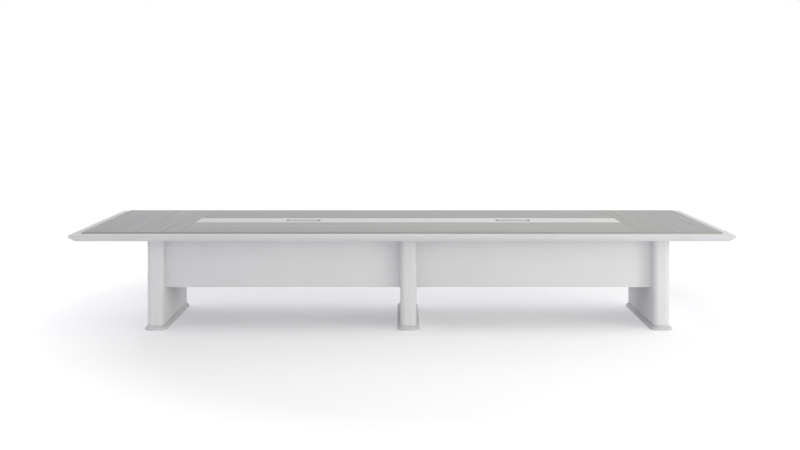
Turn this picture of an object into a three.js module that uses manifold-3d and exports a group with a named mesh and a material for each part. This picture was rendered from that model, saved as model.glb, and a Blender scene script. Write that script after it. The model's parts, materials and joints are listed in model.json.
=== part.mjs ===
// A long conference table: a framed top with raised veneer panels and a white centre strip,
// two flip-lid cable boxes in the strip, and three slab legs joined by modesty panels.
// Millimetres, +Z up. The origin is on the floor below the middle of the top's outline.
// Seen from the front, +X is to the right and +Y is away.

import * as THREE from "three";
import { mergeVertices } from "three/addons/utils/BufferGeometryUtils.js";
import Module from "manifold-3d";

const wasm = await Module();
wasm.setup();

// Overall size of the top
const TOP_LENGTH = 4700;
const TOP_WIDTH = 1600;
const TOP_HEIGHT = 750;

// The legs, the strip and the cable boxes stand this far right of the middle of the top's outline
const BASE_OFFSET = 48;

// Fine gap at joints between boards, and round pieces that sit in a cut-out
const JOINT_GAP = 0.3;

// Border rails
const BORDER_WIDTH = 72;
const BORDER_FALL = 1.4;
const NOSE_HEIGHT = 18.6;
const NOSE_ROUND = 2;
const UNDERCUT_HEIGHT = 28.5;
const UNDERCUT_WIDTH = 36.7;
const LEDGE_WIDTH = 30;

// Veneer panels and centre strip
const PANEL_RISE = 11.6;
const PANEL_SINK = 6.4;
const PANEL_SLOPE = 5;
const END_FIELD_LENGTH = 656.5;
const STRIP_WIDTH = 278;

// Core boards under the panels
const CORE_THICKNESS = 25;

// Slab legs
const END_OVERHANG = 432;
const SIDE_OVERHANG = 323;
const LEG_THICKNESS = 120;
const LEG_ROUND = 40;
const LEG_SIDE_BOARD = 18;
const LEG_POST_DEPTH = 60;
const CLEAT_HEIGHT = 45;

// Plinths
const PLINTH_FLARE = 21.6;
const PLINTH_EDGE = 12;
const PLINTH_SLOPE = 22;

// Levelling feet in the plinths
const FOOT_INSET = 150;
const FOOT_RADIUS = 20;
const FOOT_PAD = 10;
const FOOT_EDGE_CHAMFER = 2.5;
const FOOT_STEM_RADIUS = 5;
const FOOT_STEM = 19;
const FOOT_LIFT = 0.5;
const FOOT_POCKET_CLEARANCE = 1;

// Modesty panels
const MODESTY_SETBACK = 83;
const MODESTY_THICKNESS = 18;
const MODESTY_BOTTOM = 300.5;

// Steel beams under the core boards
const BEAM_WIDTH = 40;
const BEAM_HEIGHT = 30;
const BEAM_WALL = 2;
const BEAM_SETBACK = 60;

// Cable boxes
const BOX_OPENING_LENGTH = 256;
const BOX_OPENING_DEPTH = 92;
const BEZEL_WALL = 7;
const BEZEL_SEAT = 3.5;
const LID_THICKNESS = 5;
const LID_SIDE_GAP = 15;
const LID_FRONT_GAP = 16;
const LID_BACK_GAP = 2;
const PIN_RADIUS = 2.4;
const PIN_END_WALL = 3;
const STOP_WIDTH = 10;
const STOP_OVERLAP = 6;
const TRAY_DEPTH = 90;
const TRAY_WALL = 2;
const MODULE_LENGTH = 170;
const MODULE_DEPTH = 52;
const MODULE_HEIGHT = 40;
const SOCKET_RADIUS = 19;
const SOCKET_DEPTH = 12;
const SOCKET_COUNT = 3;
const CABLE_EXIT = 50;
const TRAY_MARGIN = 8;

// Sides of the round pieces, steps in a quarter turn and steps in the nose's small rounds
const ROUND_SIDES = 24;
const ARC_STEPS = 6;
const NOSE_STEPS = 3;

// How far a cutting shape reaches past the face that it cuts
const CUT_PAST = 1;

// Heights worked out from the sizes above
const PANEL_THICKNESS = PANEL_RISE + PANEL_SINK;
const CORE_TOP = TOP_HEIGHT - PANEL_THICKNESS;
const CORE_BOTTOM = CORE_TOP - CORE_THICKNESS;
const BORDER_TOP = TOP_HEIGHT - PANEL_RISE;
const NOSE_TOP = BORDER_TOP - BORDER_FALL;
const NOSE_BOTTOM = NOSE_TOP - NOSE_HEIGHT;
const RAIL_BOTTOM = NOSE_BOTTOM - UNDERCUT_HEIGHT;
const PLINTH_HEIGHT = PLINTH_EDGE + PLINTH_SLOPE;

// Plan sizes worked out from the sizes above
const FIELD_X = TOP_LENGTH / 2 - BORDER_WIDTH - JOINT_GAP;
const FIELD_Y = TOP_WIDTH / 2 - BORDER_WIDTH - JOINT_GAP;
const RAIL_WIDTH = BORDER_WIDTH + LEDGE_WIDTH;
const STRIP_LENGTH = TOP_LENGTH - 2 * BORDER_WIDTH - 2 * END_FIELD_LENGTH;
const STRIP_LEFT = BASE_OFFSET - STRIP_LENGTH / 2;
const STRIP_RIGHT = BASE_OFFSET + STRIP_LENGTH / 2;
const BOX_PITCH = STRIP_LENGTH / 2;
const BEZEL_LENGTH = BOX_OPENING_LENGTH + 2 * BEZEL_WALL;
const BEZEL_DEPTH = BOX_OPENING_DEPTH + 2 * BEZEL_WALL;
const WELL_LENGTH = BEZEL_LENGTH - 2 * BEZEL_SEAT;
const WELL_DEPTH = BEZEL_DEPTH - 2 * BEZEL_SEAT;
const LEG_PITCH = TOP_LENGTH / 2 - END_OVERHANG - LEG_THICKNESS / 2;
const LEG_DEPTH = TOP_WIDTH - 2 * SIDE_OVERHANG;
const BAY_LENGTH = LEG_PITCH - LEG_THICKNESS - 2 * JOINT_GAP;
const MODESTY_FACE = LEG_DEPTH / 2 - MODESTY_SETBACK;
const BEAM_FACE = MODESTY_FACE - MODESTY_THICKNESS - BEAM_SETBACK;

const LEFT_RIGHT = { left: -1, right: 1 };
const FRONT_BACK = { front: -1, back: 1 };
const LEG_PLACES = { left: -1, middle: 0, right: 1 };

// Colour and surface of each finish
const FINISHES = {
  greyVeneer: { color: 0xacaba8, roughness: 0.5, metalness: 0 },
  whiteLaminate: { color: 0xd8d8da, roughness: 0.45, metalness: 0 },
  whiteStrip: { color: 0xe2e2e4, roughness: 0.4, metalness: 0 },
  greyPlinth: { color: 0xc4c4c6, roughness: 0.5, metalness: 0 },
  chipboard: { color: 0xb79f7c, roughness: 0.8, metalness: 0 },
  paintedSteel: { color: 0x8d9093, roughness: 0.45, metalness: 0.6 },
  satinAluminium: { color: 0xc9cacc, roughness: 0.35, metalness: 0.9 },
  bareSteel: { color: 0xb5b7ba, roughness: 0.3, metalness: 1 },
  darkSteel: { color: 0x3a3b3d, roughness: 0.6, metalness: 0.4 },
  darkPlastic: { color: 0x2b2c2e, roughness: 0.55, metalness: 0 },
};

const table = new THREE.Group();

// Adds one named piece to a group.
function addPiece(group, name, geometry, finish) {
  const mesh = new THREE.Mesh(geometry, new THREE.MeshStandardMaterial(FINISHES[finish]));
  mesh.name = name;
  group.add(mesh);
}

// Adds a sub-group at a place in the table.
function addGroup(x, y, z) {
  const group = new THREE.Group();
  group.position.set(x, y, z);
  table.add(group);
  return group;
}

// A closed geometry as a solid that can be joined and cut.
function solidOf(geometry) {
  const bare = geometry.clone();
  bare.deleteAttribute("normal");
  bare.deleteAttribute("uv");
  const merged = mergeVertices(bare, 1e-4);
  return new wasm.Manifold(
    new wasm.Mesh({
      numProp: 3,
      vertProperties: merged.attributes.position.array,
      triVerts: new Uint32Array(merged.index.array),
    }),
  );
}

// A solid's surface as a geometry.
function geometryOf(solid) {
  const mesh = solid.getMesh();
  const geometry = new THREE.BufferGeometry();
  geometry.setAttribute("position", new THREE.BufferAttribute(mesh.vertProperties, mesh.numProp));
  geometry.setIndex(new THREE.BufferAttribute(mesh.triVerts, 1));
  geometry.computeVertexNormals();
  return geometry;
}

// A geometry joined with others and then cut by others.
function shaped(geometry, { joined = [], cut = [] }) {
  let solid = solidOf(geometry);
  for (const extra of joined) solid = solid.add(solidOf(extra));
  for (const tool of cut) solid = solid.subtract(solidOf(tool));
  return geometryOf(solid);
}

// A block between two corners.
function block([x0, y0, z0], [x1, y1, z1]) {
  const geometry = new THREE.BoxGeometry(x1 - x0, y1 - y0, z1 - z0);
  return geometry.translate((x0 + x1) / 2, (y0 + y1) / 2, (z0 + z1) / 2);
}

// An upright cylinder between two heights.
function uprightCylinder(radius, x, y, z0, z1) {
  const geometry = new THREE.CylinderGeometry(radius, radius, z1 - z0, ROUND_SIDES);
  return geometry.rotateX(Math.PI / 2).translate(x, y, (z0 + z1) / 2);
}

// A cylinder along X between two ends.
function lyingCylinder(radius, x0, x1, y, z) {
  const geometry = new THREE.CylinderGeometry(radius, radius, x1 - x0, ROUND_SIDES);
  return geometry.rotateZ(Math.PI / 2).translate((x0 + x1) / 2, y, z);
}

// A flat outline in X and Y raised from one height to another.
function raised(outline, z0, z1) {
  const options = { depth: z1 - z0, bevelEnabled: false, curveSegments: ARC_STEPS };
  return new THREE.ExtrudeGeometry(outline, options).translate(0, 0, z0);
}

// A section in Y and Z drawn out along X.
function drawnAlongX(section, x0, x1) {
  const options = { depth: x1 - x0, bevelEnabled: false, curveSegments: ARC_STEPS };
  const turn = new THREE.Matrix4().makeBasis(
    new THREE.Vector3(0, 1, 0),
    new THREE.Vector3(0, 0, 1),
    new THREE.Vector3(1, 0, 0),
  );
  return new THREE.ExtrudeGeometry(section, options).applyMatrix4(turn).translate(x0, 0, 0);
}

// A rectangle about a centre.
function rectangle(length, depth, x = 0, y = 0) {
  const shape = new THREE.Shape();
  shape.moveTo(x - length / 2, y - depth / 2);
  shape.lineTo(x + length / 2, y - depth / 2);
  shape.lineTo(x + length / 2, y + depth / 2);
  shape.lineTo(x - length / 2, y + depth / 2);
  shape.closePath();
  return shape;
}

// A rectangle about the origin with rounded corners.
function roundedRectangle(length, depth, radius) {
  const x = length / 2 - radius;
  const y = depth / 2 - radius;
  const quarter = Math.PI / 2;
  const shape = new THREE.Shape();
  shape.absarc(x, -y, radius, -quarter, 0);
  shape.absarc(x, y, radius, 0, quarter);
  shape.absarc(-x, y, radius, quarter, 2 * quarter);
  shape.absarc(-x, -y, radius, 2 * quarter, 3 * quarter);
  shape.closePath();
  return shape;
}

// Section of a border rail: x is the way in from the outline, y is the height.
function railSection() {
  const shape = new THREE.Shape();
  shape.moveTo(NOSE_ROUND, NOSE_TOP);
  shape.quadraticCurveTo(0, NOSE_TOP, 0, NOSE_TOP - NOSE_ROUND);
  shape.lineTo(0, NOSE_BOTTOM + NOSE_ROUND);
  shape.quadraticCurveTo(
    0,
    NOSE_BOTTOM,
    (NOSE_ROUND * UNDERCUT_WIDTH) / UNDERCUT_HEIGHT,
    NOSE_BOTTOM - NOSE_ROUND,
  );
  shape.lineTo(UNDERCUT_WIDTH, RAIL_BOTTOM);
  shape.lineTo(RAIL_WIDTH, RAIL_BOTTOM);
  shape.lineTo(RAIL_WIDTH, CORE_TOP);
  shape.lineTo(BORDER_WIDTH, CORE_TOP);
  shape.lineTo(BORDER_WIDTH, BORDER_TOP);
  shape.closePath();
  return shape;
}

// A rail along X whose ends are mitred: each point's reach shrinks with its way in from the outline.
function mitredRail(length, width) {
  const options = { depth: 1, bevelEnabled: false, curveSegments: NOSE_STEPS };
  const geometry = new THREE.ExtrudeGeometry(railSection(), options);
  const position = geometry.attributes.position;
  for (let i = 0; i < position.count; i += 1) {
    const inward = position.getX(i);
    const height = position.getY(i);
    const reach = length / 2 - inward - JOINT_GAP / 2;
    const x = position.getZ(i) > 0 ? reach : -reach;
    position.setXYZ(i, x, inward - width / 2, height);
  }
  return geometry;
}

// Border rails
for (const [name, side] of Object.entries(FRONT_BACK)) {
  const turn = side < 0 ? 0 : Math.PI;
  const rail = mitredRail(TOP_LENGTH, TOP_WIDTH).rotateZ(turn);
  addPiece(table, `edge_rail_${name}`, rail, "whiteLaminate");
}
for (const [name, side] of Object.entries(LEFT_RIGHT)) {
  const rail = mitredRail(TOP_WIDTH, TOP_LENGTH).rotateZ((side * Math.PI) / 2);
  addPiece(table, `edge_rail_${name}`, rail, "whiteLaminate");
}

// A veneer panel: above the border, its sides on the field's outline slope in by PANEL_SLOPE.
function veneerPanel([x0, y0], [x1, y1]) {
  const geometry = new THREE.BoxGeometry(x1 - x0, y1 - y0, PANEL_THICKNESS, 1, 1, 2);
  geometry.translate((x0 + x1) / 2, (y0 + y1) / 2, (CORE_TOP + TOP_HEIGHT) / 2);
  const faceX = FIELD_X - PANEL_SLOPE;
  const faceY = FIELD_Y - PANEL_SLOPE;
  const middle = (CORE_TOP + TOP_HEIGHT) / 2;
  const position = geometry.attributes.position;
  for (let i = 0; i < position.count; i += 1) {
    const way = position.getZ(i) - middle;
    if (Math.abs(way) < PANEL_THICKNESS / 4) {
      position.setZ(i, BORDER_TOP);
    } else if (way > 0) {
      position.setX(i, THREE.MathUtils.clamp(position.getX(i), -faceX, faceX));
      position.setY(i, THREE.MathUtils.clamp(position.getY(i), -faceY, faceY));
    }
  }
  return geometry;
}

// Veneer panels
const endPanels = {
  left: [-FIELD_X, STRIP_LEFT - JOINT_GAP],
  right: [STRIP_RIGHT + JOINT_GAP, FIELD_X],
};
for (const [name, [x0, x1]] of Object.entries(endPanels)) {
  const panel = veneerPanel([x0, -FIELD_Y], [x1, FIELD_Y]);
  addPiece(table, `end_panel_${name}`, panel, "greyVeneer");
}
const innerEdge = STRIP_WIDTH / 2 + JOINT_GAP;
const centrePanels = { front: [-FIELD_Y, -innerEdge], back: [innerEdge, FIELD_Y] };
for (const [name, [y0, y1]] of Object.entries(centrePanels)) {
  const panel = veneerPanel([STRIP_LEFT, y0], [STRIP_RIGHT, y1]);
  addPiece(table, `centre_panel_${name}`, panel, "greyVeneer");
}

// Centre strip, with a cut-out for each cable box
const boxCentres = {
  left: BASE_OFFSET - BOX_PITCH / 2,
  right: BASE_OFFSET + BOX_PITCH / 2,
};
const stripBlank = block(
  [STRIP_LEFT, -STRIP_WIDTH / 2, CORE_TOP],
  [STRIP_RIGHT, STRIP_WIDTH / 2, TOP_HEIGHT],
);
const boxCutOuts = Object.values(boxCentres).map((x) => {
  const outline = rectangle(BEZEL_LENGTH + 2 * JOINT_GAP, BEZEL_DEPTH + 2 * JOINT_GAP, x);
  return raised(outline, CORE_TOP - CUT_PAST, TOP_HEIGHT + CUT_PAST);
});
addPiece(table, "centre_strip", shaped(stripBlank, { cut: boxCutOuts }), "whiteStrip");

// Core boards, which meet over the middle leg
const coreX = TOP_LENGTH / 2 - RAIL_WIDTH - JOINT_GAP;
const coreY = TOP_WIDTH / 2 - RAIL_WIDTH - JOINT_GAP;
const coreSpans = {
  left: [-coreX, BASE_OFFSET - JOINT_GAP / 2],
  right: [BASE_OFFSET + JOINT_GAP / 2, coreX],
};
for (const [name, [x0, x1]] of Object.entries(coreSpans)) {
  const outline = rectangle(x1 - x0, 2 * coreY, (x0 + x1) / 2);
  outline.holes.push(rectangle(WELL_LENGTH, WELL_DEPTH, boxCentres[name]));
  addPiece(table, `core_board_${name}`, raised(outline, CORE_BOTTOM, CORE_TOP), "chipboard");
}

// A post that closes the front end of a leg, rounded on its two outer corners.
function legPost() {
  const x = LEG_THICKNESS / 2;
  const front = -LEG_DEPTH / 2;
  const radius = Math.min(LEG_ROUND, x, LEG_POST_DEPTH);
  const shape = new THREE.Shape();
  shape.moveTo(x, front + LEG_POST_DEPTH);
  shape.lineTo(-x, front + LEG_POST_DEPTH);
  shape.absarc(-x + radius, front + radius, radius, Math.PI, 1.5 * Math.PI);
  shape.absarc(x - radius, front + radius, radius, -Math.PI / 2, 0);
  shape.closePath();
  return raised(shape, PLINTH_HEIGHT, CORE_BOTTOM);
}

// A plinth: an upright edge at the floor, then a slope in to the leg's own outline.
// An outline point lies one radius from the nearest point of the inner rectangle, and the inset
// draws it towards that point.
function flaredPlinth() {
  const radius = Math.min(LEG_ROUND, LEG_THICKNESS / 2) + PLINTH_FLARE;
  const length = LEG_THICKNESS + 2 * PLINTH_FLARE;
  const depth = LEG_DEPTH + 2 * PLINTH_FLARE;
  const layers = [
    { height: 0, inset: 0 },
    { height: PLINTH_EDGE, inset: 0 },
    { height: PLINTH_HEIGHT, inset: PLINTH_FLARE },
  ];
  const steps = layers.length - 1;
  const options = { depth: steps, steps, bevelEnabled: false, curveSegments: ARC_STEPS };
  const geometry = new THREE.ExtrudeGeometry(roundedRectangle(length, depth, radius), options);
  const position = geometry.attributes.position;
  for (let i = 0; i < position.count; i += 1) {
    const { height, inset } = layers[Math.round(position.getZ(i))];
    const x = position.getX(i);
    const y = position.getY(i);
    const nearX = THREE.MathUtils.clamp(x, radius - length / 2, length / 2 - radius);
    const nearY = THREE.MathUtils.clamp(y, radius - depth / 2, depth / 2 - radius);
    const keep = 1 - inset / radius;
    position.setXYZ(i, nearX + (x - nearX) * keep, nearY + (y - nearY) * keep, height);
  }
  return geometry;
}

// Pocket for a foot's pad and hole for its stem, open at the plinth's underside.
function footPocket(y) {
  const padTop = FOOT_LIFT + FOOT_PAD + FOOT_POCKET_CLEARANCE;
  const stemTop = FOOT_LIFT + FOOT_PAD + FOOT_STEM + FOOT_POCKET_CLEARANCE;
  return [
    uprightCylinder(FOOT_RADIUS + FOOT_POCKET_CLEARANCE, 0, y, -CUT_PAST, padTop),
    uprightCylinder(FOOT_STEM_RADIUS + JOINT_GAP, 0, y, -CUT_PAST, stemTop),
  ];
}

// A levelling foot: a round pad with chamfered edges and a threaded stem.
function levellingFoot(y) {
  const chamfer = FOOT_EDGE_CHAMFER;
  const top = FOOT_PAD + FOOT_STEM;
  const profile = [
    [0, 0],
    [FOOT_RADIUS - chamfer, 0],
    [FOOT_RADIUS, chamfer],
    [FOOT_RADIUS, FOOT_PAD - chamfer],
    [FOOT_RADIUS - chamfer, FOOT_PAD],
    [FOOT_STEM_RADIUS, FOOT_PAD],
    [FOOT_STEM_RADIUS, top],
    [0, top],
  ].map(([x, z]) => new THREE.Vector2(x, z));
  const geometry = new THREE.LatheGeometry(profile, ROUND_SIDES);
  return geometry.rotateX(Math.PI / 2).translate(0, y, FOOT_LIFT);
}

// Slab legs
for (const [place, step] of Object.entries(LEG_PLACES)) {
  const leg = addGroup(BASE_OFFSET + step * LEG_PITCH, 0, 0);
  const footReach = LEG_DEPTH / 2 - FOOT_INSET;
  const boardReach = LEG_DEPTH / 2 - LEG_POST_DEPTH - JOINT_GAP;
  const innerX = LEG_THICKNESS / 2 - LEG_SIDE_BOARD;

  for (const [name, side] of Object.entries(LEFT_RIGHT)) {
    const x0 = side < 0 ? -LEG_THICKNESS / 2 : innerX;
    const low = [x0, -boardReach, PLINTH_HEIGHT];
    const high = [x0 + LEG_SIDE_BOARD, boardReach, CORE_BOTTOM];
    addPiece(leg, `leg_${place}_side_${name}`, block(low, high), "whiteLaminate");
  }

  for (const [name, side] of Object.entries(FRONT_BACK)) {
    const post = legPost().rotateZ(side < 0 ? 0 : Math.PI);
    addPiece(leg, `leg_${place}_post_${name}`, post, "whiteLaminate");
    addPiece(leg, `foot_${place}_${name}`, levellingFoot(side * footReach), "darkPlastic");
  }

  const cleatX = innerX - JOINT_GAP;
  const cleatLow = [-cleatX, -boardReach, CORE_BOTTOM - CLEAT_HEIGHT];
  const cleat = block(cleatLow, [cleatX, boardReach, CORE_BOTTOM]);
  addPiece(leg, `leg_${place}_cleat`, cleat, "chipboard");

  const pockets = [...footPocket(-footReach), ...footPocket(footReach)];
  addPiece(leg, `plinth_${place}`, shaped(flaredPlinth(), { cut: pockets }), "greyPlinth");
}

// A square steel tube along X with its top at a height.
function beamTube(y, top) {
  const section = rectangle(BEAM_WIDTH, BEAM_HEIGHT, y, top - BEAM_HEIGHT / 2);
  const boreWidth = BEAM_WIDTH - 2 * BEAM_WALL;
  const boreHeight = BEAM_HEIGHT - 2 * BEAM_WALL;
  section.holes.push(rectangle(boreWidth, boreHeight, y, top - BEAM_HEIGHT / 2));
  return drawnAlongX(section, -BAY_LENGTH / 2, BAY_LENGTH / 2);
}

// Modesty panels and beams in the two bays between the legs
for (const [bayName, baySide] of Object.entries(LEFT_RIGHT)) {
  const bay = addGroup(BASE_OFFSET + (baySide * LEG_PITCH) / 2, 0, 0);
  for (const [name, side] of Object.entries(FRONT_BACK)) {
    const middle = side * (MODESTY_FACE - MODESTY_THICKNESS / 2);
    const low = [-BAY_LENGTH / 2, middle - MODESTY_THICKNESS / 2, MODESTY_BOTTOM];
    const high = [BAY_LENGTH / 2, middle + MODESTY_THICKNESS / 2, CORE_BOTTOM];
    addPiece(bay, `modesty_panel_${name}_${bayName}`, block(low, high), "whiteLaminate");

    const beam = beamTube(side * (BEAM_FACE - BEAM_WIDTH / 2), CORE_BOTTOM);
    addPiece(bay, `beam_${name}_${bayName}`, beam, "paintedSteel");
  }
}

// Cable boxes: each group's origin is on the top's surface at the middle of the box
const hingeY = BOX_OPENING_DEPTH / 2 - LID_BACK_GAP - LID_THICKNESS;
const hingeZ = -LID_THICKNESS;
const lidFront = LID_FRONT_GAP - BOX_OPENING_DEPTH / 2;
const lidHalf = BOX_OPENING_LENGTH / 2 - LID_SIDE_GAP;
const pinReach = BOX_OPENING_LENGTH / 2 + BEZEL_WALL - PIN_END_WALL;

// The rim of a box, with seats for the hinge pin and two stops under the lid's front corners.
function boxBezel() {
  const outline = rectangle(BEZEL_LENGTH, BEZEL_DEPTH);
  outline.holes.push(rectangle(BOX_OPENING_LENGTH, BOX_OPENING_DEPTH));
  const stops = Object.values(LEFT_RIGHT).map((side) => {
    const inner = side * (lidHalf - STOP_OVERLAP);
    const outer = side * (BOX_OPENING_LENGTH + BEZEL_WALL) / 2;
    const low = [Math.min(inner, outer), lidFront, -PANEL_THICKNESS];
    const high = [Math.max(inner, outer), lidFront + STOP_WIDTH, -LID_THICKNESS - JOINT_GAP];
    return block(low, high);
  });
  const pinSeat = lyingCylinder(PIN_RADIUS + JOINT_GAP, -pinReach, pinReach, hingeY, hingeZ);
  return shaped(raised(outline, -PANEL_THICKNESS, 0), { joined: stops, cut: [pinSeat] });
}

// The lid: a flat plate whose back edge is a round barrel bored for the hinge pin.
function boxLid() {
  const section = new THREE.Shape();
  section.moveTo(lidFront, -LID_THICKNESS);
  section.lineTo(hingeY - LID_THICKNESS, -LID_THICKNESS);
  section.absarc(hingeY, hingeZ, LID_THICKNESS, Math.PI, 2.5 * Math.PI);
  section.lineTo(lidFront, 0);
  section.closePath();
  const bore = new THREE.Path();
  bore.absarc(hingeY, hingeZ, PIN_RADIUS + JOINT_GAP, 0, 2 * Math.PI);
  section.holes.push(bore);
  return drawnAlongX(section, -lidHalf, lidHalf);
}

// The tray below a box, open at the top, with a cable exit in its floor.
function boxTray() {
  const x = WELL_LENGTH / 2 - JOINT_GAP;
  const y = WELL_DEPTH / 2 - JOINT_GAP;
  const rim = -PANEL_THICKNESS;
  const floor = rim - TRAY_DEPTH;
  const inside = block(
    [TRAY_WALL - x, TRAY_WALL - y, floor + TRAY_WALL],
    [x - TRAY_WALL, y - TRAY_WALL, rim + CUT_PAST],
  );
  const exitEnd = x - TRAY_WALL - TRAY_MARGIN;
  const exit = block(
    [exitEnd - CABLE_EXIT, -CABLE_EXIT / 2, floor - CUT_PAST],
    [exitEnd, CABLE_EXIT / 2, floor + TRAY_WALL + CUT_PAST],
  );
  return shaped(block([-x, -y, floor], [x, y, rim]), { cut: [inside, exit] });
}

// A row of round sockets in a plain housing on the tray's floor.
function socketModule() {
  const floor = -PANEL_THICKNESS - TRAY_DEPTH + TRAY_WALL;
  const top = floor + MODULE_HEIGHT;
  const left = TRAY_WALL + TRAY_MARGIN - WELL_LENGTH / 2;
  const housing = block(
    [left, -MODULE_DEPTH / 2, floor],
    [left + MODULE_LENGTH, MODULE_DEPTH / 2, top],
  );
  const pitch = MODULE_LENGTH / SOCKET_COUNT;
  const sockets = [];
  for (let i = 0; i < SOCKET_COUNT; i += 1) {
    const x = left + (i + 0.5) * pitch;
    sockets.push(uprightCylinder(SOCKET_RADIUS, x, 0, top - SOCKET_DEPTH, top + CUT_PAST));
  }
  return shaped(housing, { cut: sockets });
}

for (const [name, x] of Object.entries(boxCentres)) {
  const box = addGroup(x, 0, TOP_HEIGHT);
  const pinHalf = pinReach - JOINT_GAP;
  const pin = lyingCylinder(PIN_RADIUS, -pinHalf, pinHalf, hingeY, hingeZ);
  addPiece(box, `cable_box_bezel_${name}`, boxBezel(), "satinAluminium");
  addPiece(box, `cable_box_lid_${name}`, boxLid(), "satinAluminium");
  addPiece(box, `cable_box_pin_${name}`, pin, "bareSteel");
  addPiece(box, `cable_box_tray_${name}`, boxTray(), "darkSteel");
  addPiece(box, `socket_module_${name}`, socketModule(), "darkPlastic");
}

export default table;
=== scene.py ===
"""Looks of a long conference table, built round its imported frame.

The framed top, its veneer fields and white centre strip, the cable boxes and the slab legs are
modelled as finished pieces, dressed in procedural materials and lit as in a plain white studio.
Metres, +Z up, +X to the right and +Y away from the camera.
"""

import json
import logging
import math
from collections.abc import Callable
from dataclasses import dataclass
from enum import Enum
from typing import Any, Self

import bmesh
import bpy
from bpy.types import Material, Node, NodeSocket, NodeTree, Object
from mathutils import Matrix, Vector


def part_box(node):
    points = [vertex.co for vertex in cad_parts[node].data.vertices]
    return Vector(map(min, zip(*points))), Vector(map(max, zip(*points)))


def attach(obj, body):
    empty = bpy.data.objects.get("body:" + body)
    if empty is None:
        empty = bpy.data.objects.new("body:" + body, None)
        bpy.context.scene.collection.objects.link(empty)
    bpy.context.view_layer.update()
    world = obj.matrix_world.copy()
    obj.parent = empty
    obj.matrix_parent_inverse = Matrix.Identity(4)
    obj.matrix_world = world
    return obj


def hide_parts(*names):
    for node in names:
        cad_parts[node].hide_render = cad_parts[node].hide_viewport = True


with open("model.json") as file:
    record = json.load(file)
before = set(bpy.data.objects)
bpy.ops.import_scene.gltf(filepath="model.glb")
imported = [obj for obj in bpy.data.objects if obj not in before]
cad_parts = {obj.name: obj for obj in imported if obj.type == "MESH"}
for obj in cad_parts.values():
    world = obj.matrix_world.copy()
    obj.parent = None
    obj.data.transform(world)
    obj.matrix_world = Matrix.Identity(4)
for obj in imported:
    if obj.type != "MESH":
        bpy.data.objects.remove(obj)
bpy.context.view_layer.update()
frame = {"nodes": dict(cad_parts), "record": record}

LOG = logging.getLogger("conference_table")
MM = 0.001
X, Y, Z = range(3)

# The least part of a unit direction that counts as along an axis
ALONG = 0.9

# The most by which two measures of one place differ
TOLERANCE = 0.05 * MM

# Two or three measures, such as limits, or a size or place along the axes
Pair = tuple[float, float]
Triple = tuple[float, float, float]
Point = Vector | Triple

# The inputs of a shader node by name or number, each a constant or a socket to link from
Inputs = dict[Any, Any]

# A test of a face or an edge by its middle and its normal or direction
Test = Callable[[Vector, Vector], bool]

# The body that carries each node of the frame
BODY_OF = {
    node: body
    for body, nodes in frame["record"]["behaviour"]["bodies"].items()
    for node in nodes
}


class Side(Enum):
    """Left or right, seen from the front."""

    LEFT = "left"
    RIGHT = "right"

    @property
    def sign(self) -> int:
        """-1 on the left and 1 on the right."""
        return -1 if self is Side.LEFT else 1


class End(Enum):
    """Front or back of the table."""

    FRONT = "front"
    BACK = "back"

    @property
    def turn(self) -> float:
        """The turn in radians that takes a front piece to this end."""
        return 0.0 if self is End.FRONT else math.pi


class Place(Enum):
    """The three legs, from left to right."""

    LEFT = "left"
    MIDDLE = "middle"
    RIGHT = "right"


class Grain(Enum):
    """The way that wood grain or brush lines run."""

    ALONG_X = "along_x"
    ALONG_Y = "along_y"

    def stretch(self, length: float, width: float) -> Triple:
        """Pattern scale for marks of a real size.

        Args:
            length: Length of a mark along the grain, in metres.
            width: Width of a mark across the grain, in metres.

        Returns:
            The Mapping scale along X, Y and Z.
        """
        lengthwise, crosswise = 1 / length, 1 / width
        if self is Grain.ALONG_X:
            return lengthwise, crosswise, crosswise
        return crosswise, lengthwise, crosswise


class Mark(Enum):
    """What is picked in edit mode."""

    FACE = "FACE"
    EDGE = "EDGE"


class Mode(Enum):
    """How a workpiece lies on the bench."""

    OBJECT = "OBJECT"
    EDIT = "EDIT"


class Join(Enum):
    """How a tool shape acts on a workpiece."""

    CUT = "DIFFERENCE"
    WELD = "UNION"


def clear_bench() -> None:
    """Leaves edit mode and deselects every object."""
    if bpy.context.mode != Mode.OBJECT.value:
        bpy.ops.object.mode_set(mode=Mode.OBJECT.value)
    bpy.ops.object.select_all(action="DESELECT")


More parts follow.
